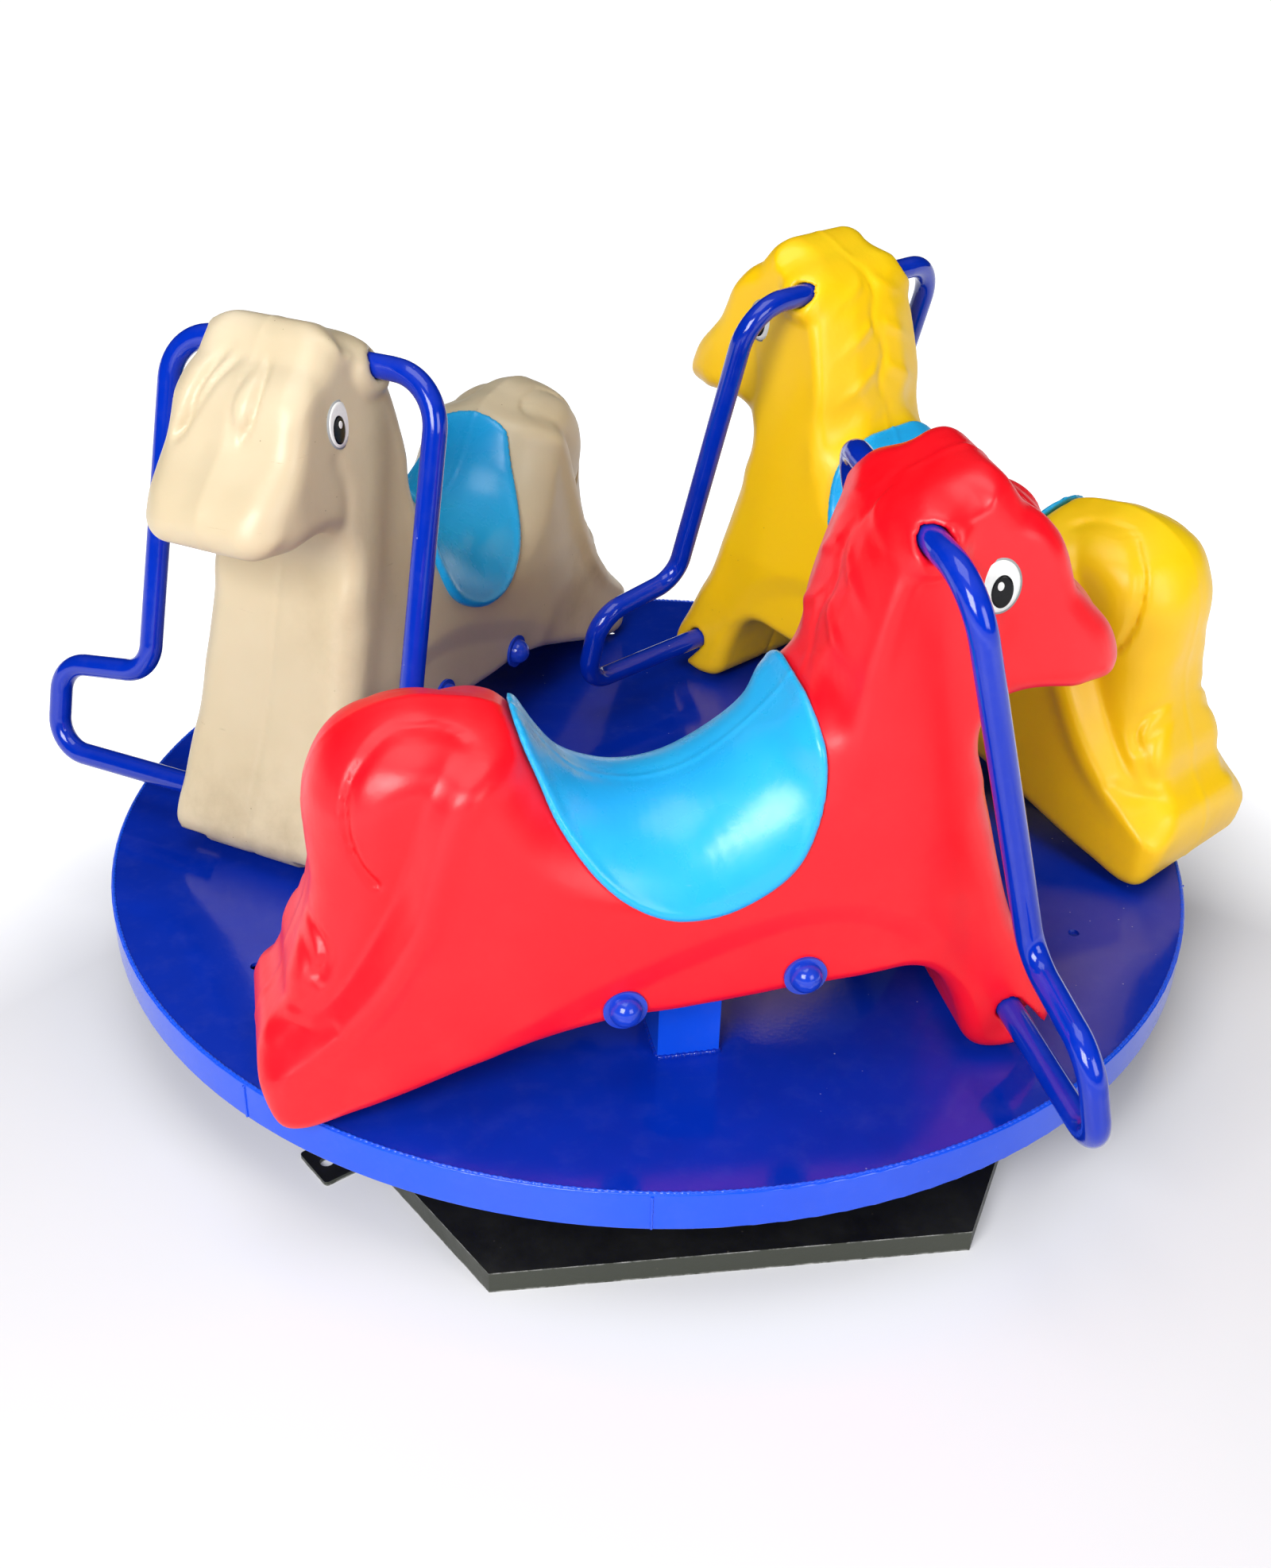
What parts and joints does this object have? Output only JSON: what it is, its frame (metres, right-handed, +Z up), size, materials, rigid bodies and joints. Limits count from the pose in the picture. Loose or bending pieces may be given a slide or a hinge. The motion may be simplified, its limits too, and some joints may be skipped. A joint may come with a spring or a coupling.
{
  "type": "merry-go-round",
  "caption": "Low playground merry-go-round: moulded horse seats with bent tube handles on a round steel deck that turns on a bolted-down base.",
  "frame": {"origin": "on the turning axis, at the ground", "axes": "+Z up along the turning axis; -Y towards the middle of the base's short side below the red horse; the horses face round with a turn that is anticlockwise from above"},
  "size_m": [1.3454, 1.2584, 0.7154],
  "materials": {
    "red_plastic": "gloss moulded",
    "yellow_plastic": "gloss moulded",
    "beige_plastic": "satin moulded, dusty",
    "saddle_plastic": "gloss moulded",
    "blue_paint": "gloss powder coat",
    "rim_paint": "gloss powder coat",
    "cap_plastic": "gloss moulded",
    "black_paint": "satin paint, worn edges",
    "steel": "bright zinc",
    "cage_brass": "machined",
    "rubber": "matte",
    "eye_label": "printed label"
  },
  "bodies": {
    "base": {"base_plate": "black_paint", "base_frame": "black_paint", "anchor_tabs": "black_paint", "spindle_flange": "black_paint", "spindle": "steel", "flange_bolts": "steel", "flange_nuts": "steel", "race_spacer": "steel", "lock_washer": "steel", "lock_nut": "steel", "lower_inner_race": "steel", "upper_inner_race": "steel"},
    "platform": {"hub_housing": "blue_paint", "dust_seal": "rubber", "retaining_ring": "steel", "hub_cap": "blue_paint", "hub_cap_screws": "steel", "deck_plate": "blue_paint", "rim_band": "rim_paint", "platform_arms": "blue_paint", "lower_outer_race": "steel", "upper_outer_race": "steel", "seat_studs": "steel", "seat_washers": "cap_plastic", "dome_caps": "cap_plastic", "red_horse": "red_plastic", "red_saddle": "saddle_plastic", "red_left_handle": "blue_paint", "red_right_handle": "blue_paint", "red_handle_spigots": "steel", "red_post": "blue_paint", "red_bracket": "steel", "red_eyes": "eye_label", "yellow_horse": "yellow_plastic", "yellow_saddle": "saddle_plastic", "yellow_left_handle": "blue_paint", "yellow_right_handle": "blue_paint", "yellow_handle_spigots": "steel", "yellow_post": "blue_paint", "yellow_bracket": "steel", "yellow_eyes": "eye_label", "beige_horse": "beige_plastic", "beige_saddle": "saddle_plastic", "beige_left_handle": "blue_paint", "beige_right_handle": "blue_paint", "beige_handle_spigots": "steel", "beige_post": "blue_paint", "beige_bracket": "steel", "beige_eyes": "eye_label"},
    "lower_cage": {"lower_cage": "cage_brass", "lower_balls": "steel"},
    "upper_cage": {"upper_cage": "cage_brass", "upper_balls": "steel"}
  },
  "joints": [
    {"name": "platform_spin", "type": "hinge", "parent": "base", "child": "platform", "pos_m": [0, 0, 0], "axis": [0, 0, 1], "continuous": true},
    {"name": "lower_cage_turn", "type": "hinge", "parent": "base", "child": "lower_cage", "pos_m": [0, 0, 0], "axis": [0, 0, 1], "continuous": true},
    {"name": "upper_cage_turn", "type": "hinge", "parent": "base", "child": "upper_cage", "pos_m": [0, 0, 0], "axis": [0, 0, 1], "continuous": true}
  ],
  "couplings": [
    {"joint": "lower_cage_turn", "follows": "platform_spin", "ratio": 0.5907},
    {"joint": "upper_cage_turn", "follows": "platform_spin", "ratio": 0.5907}
  ]
}
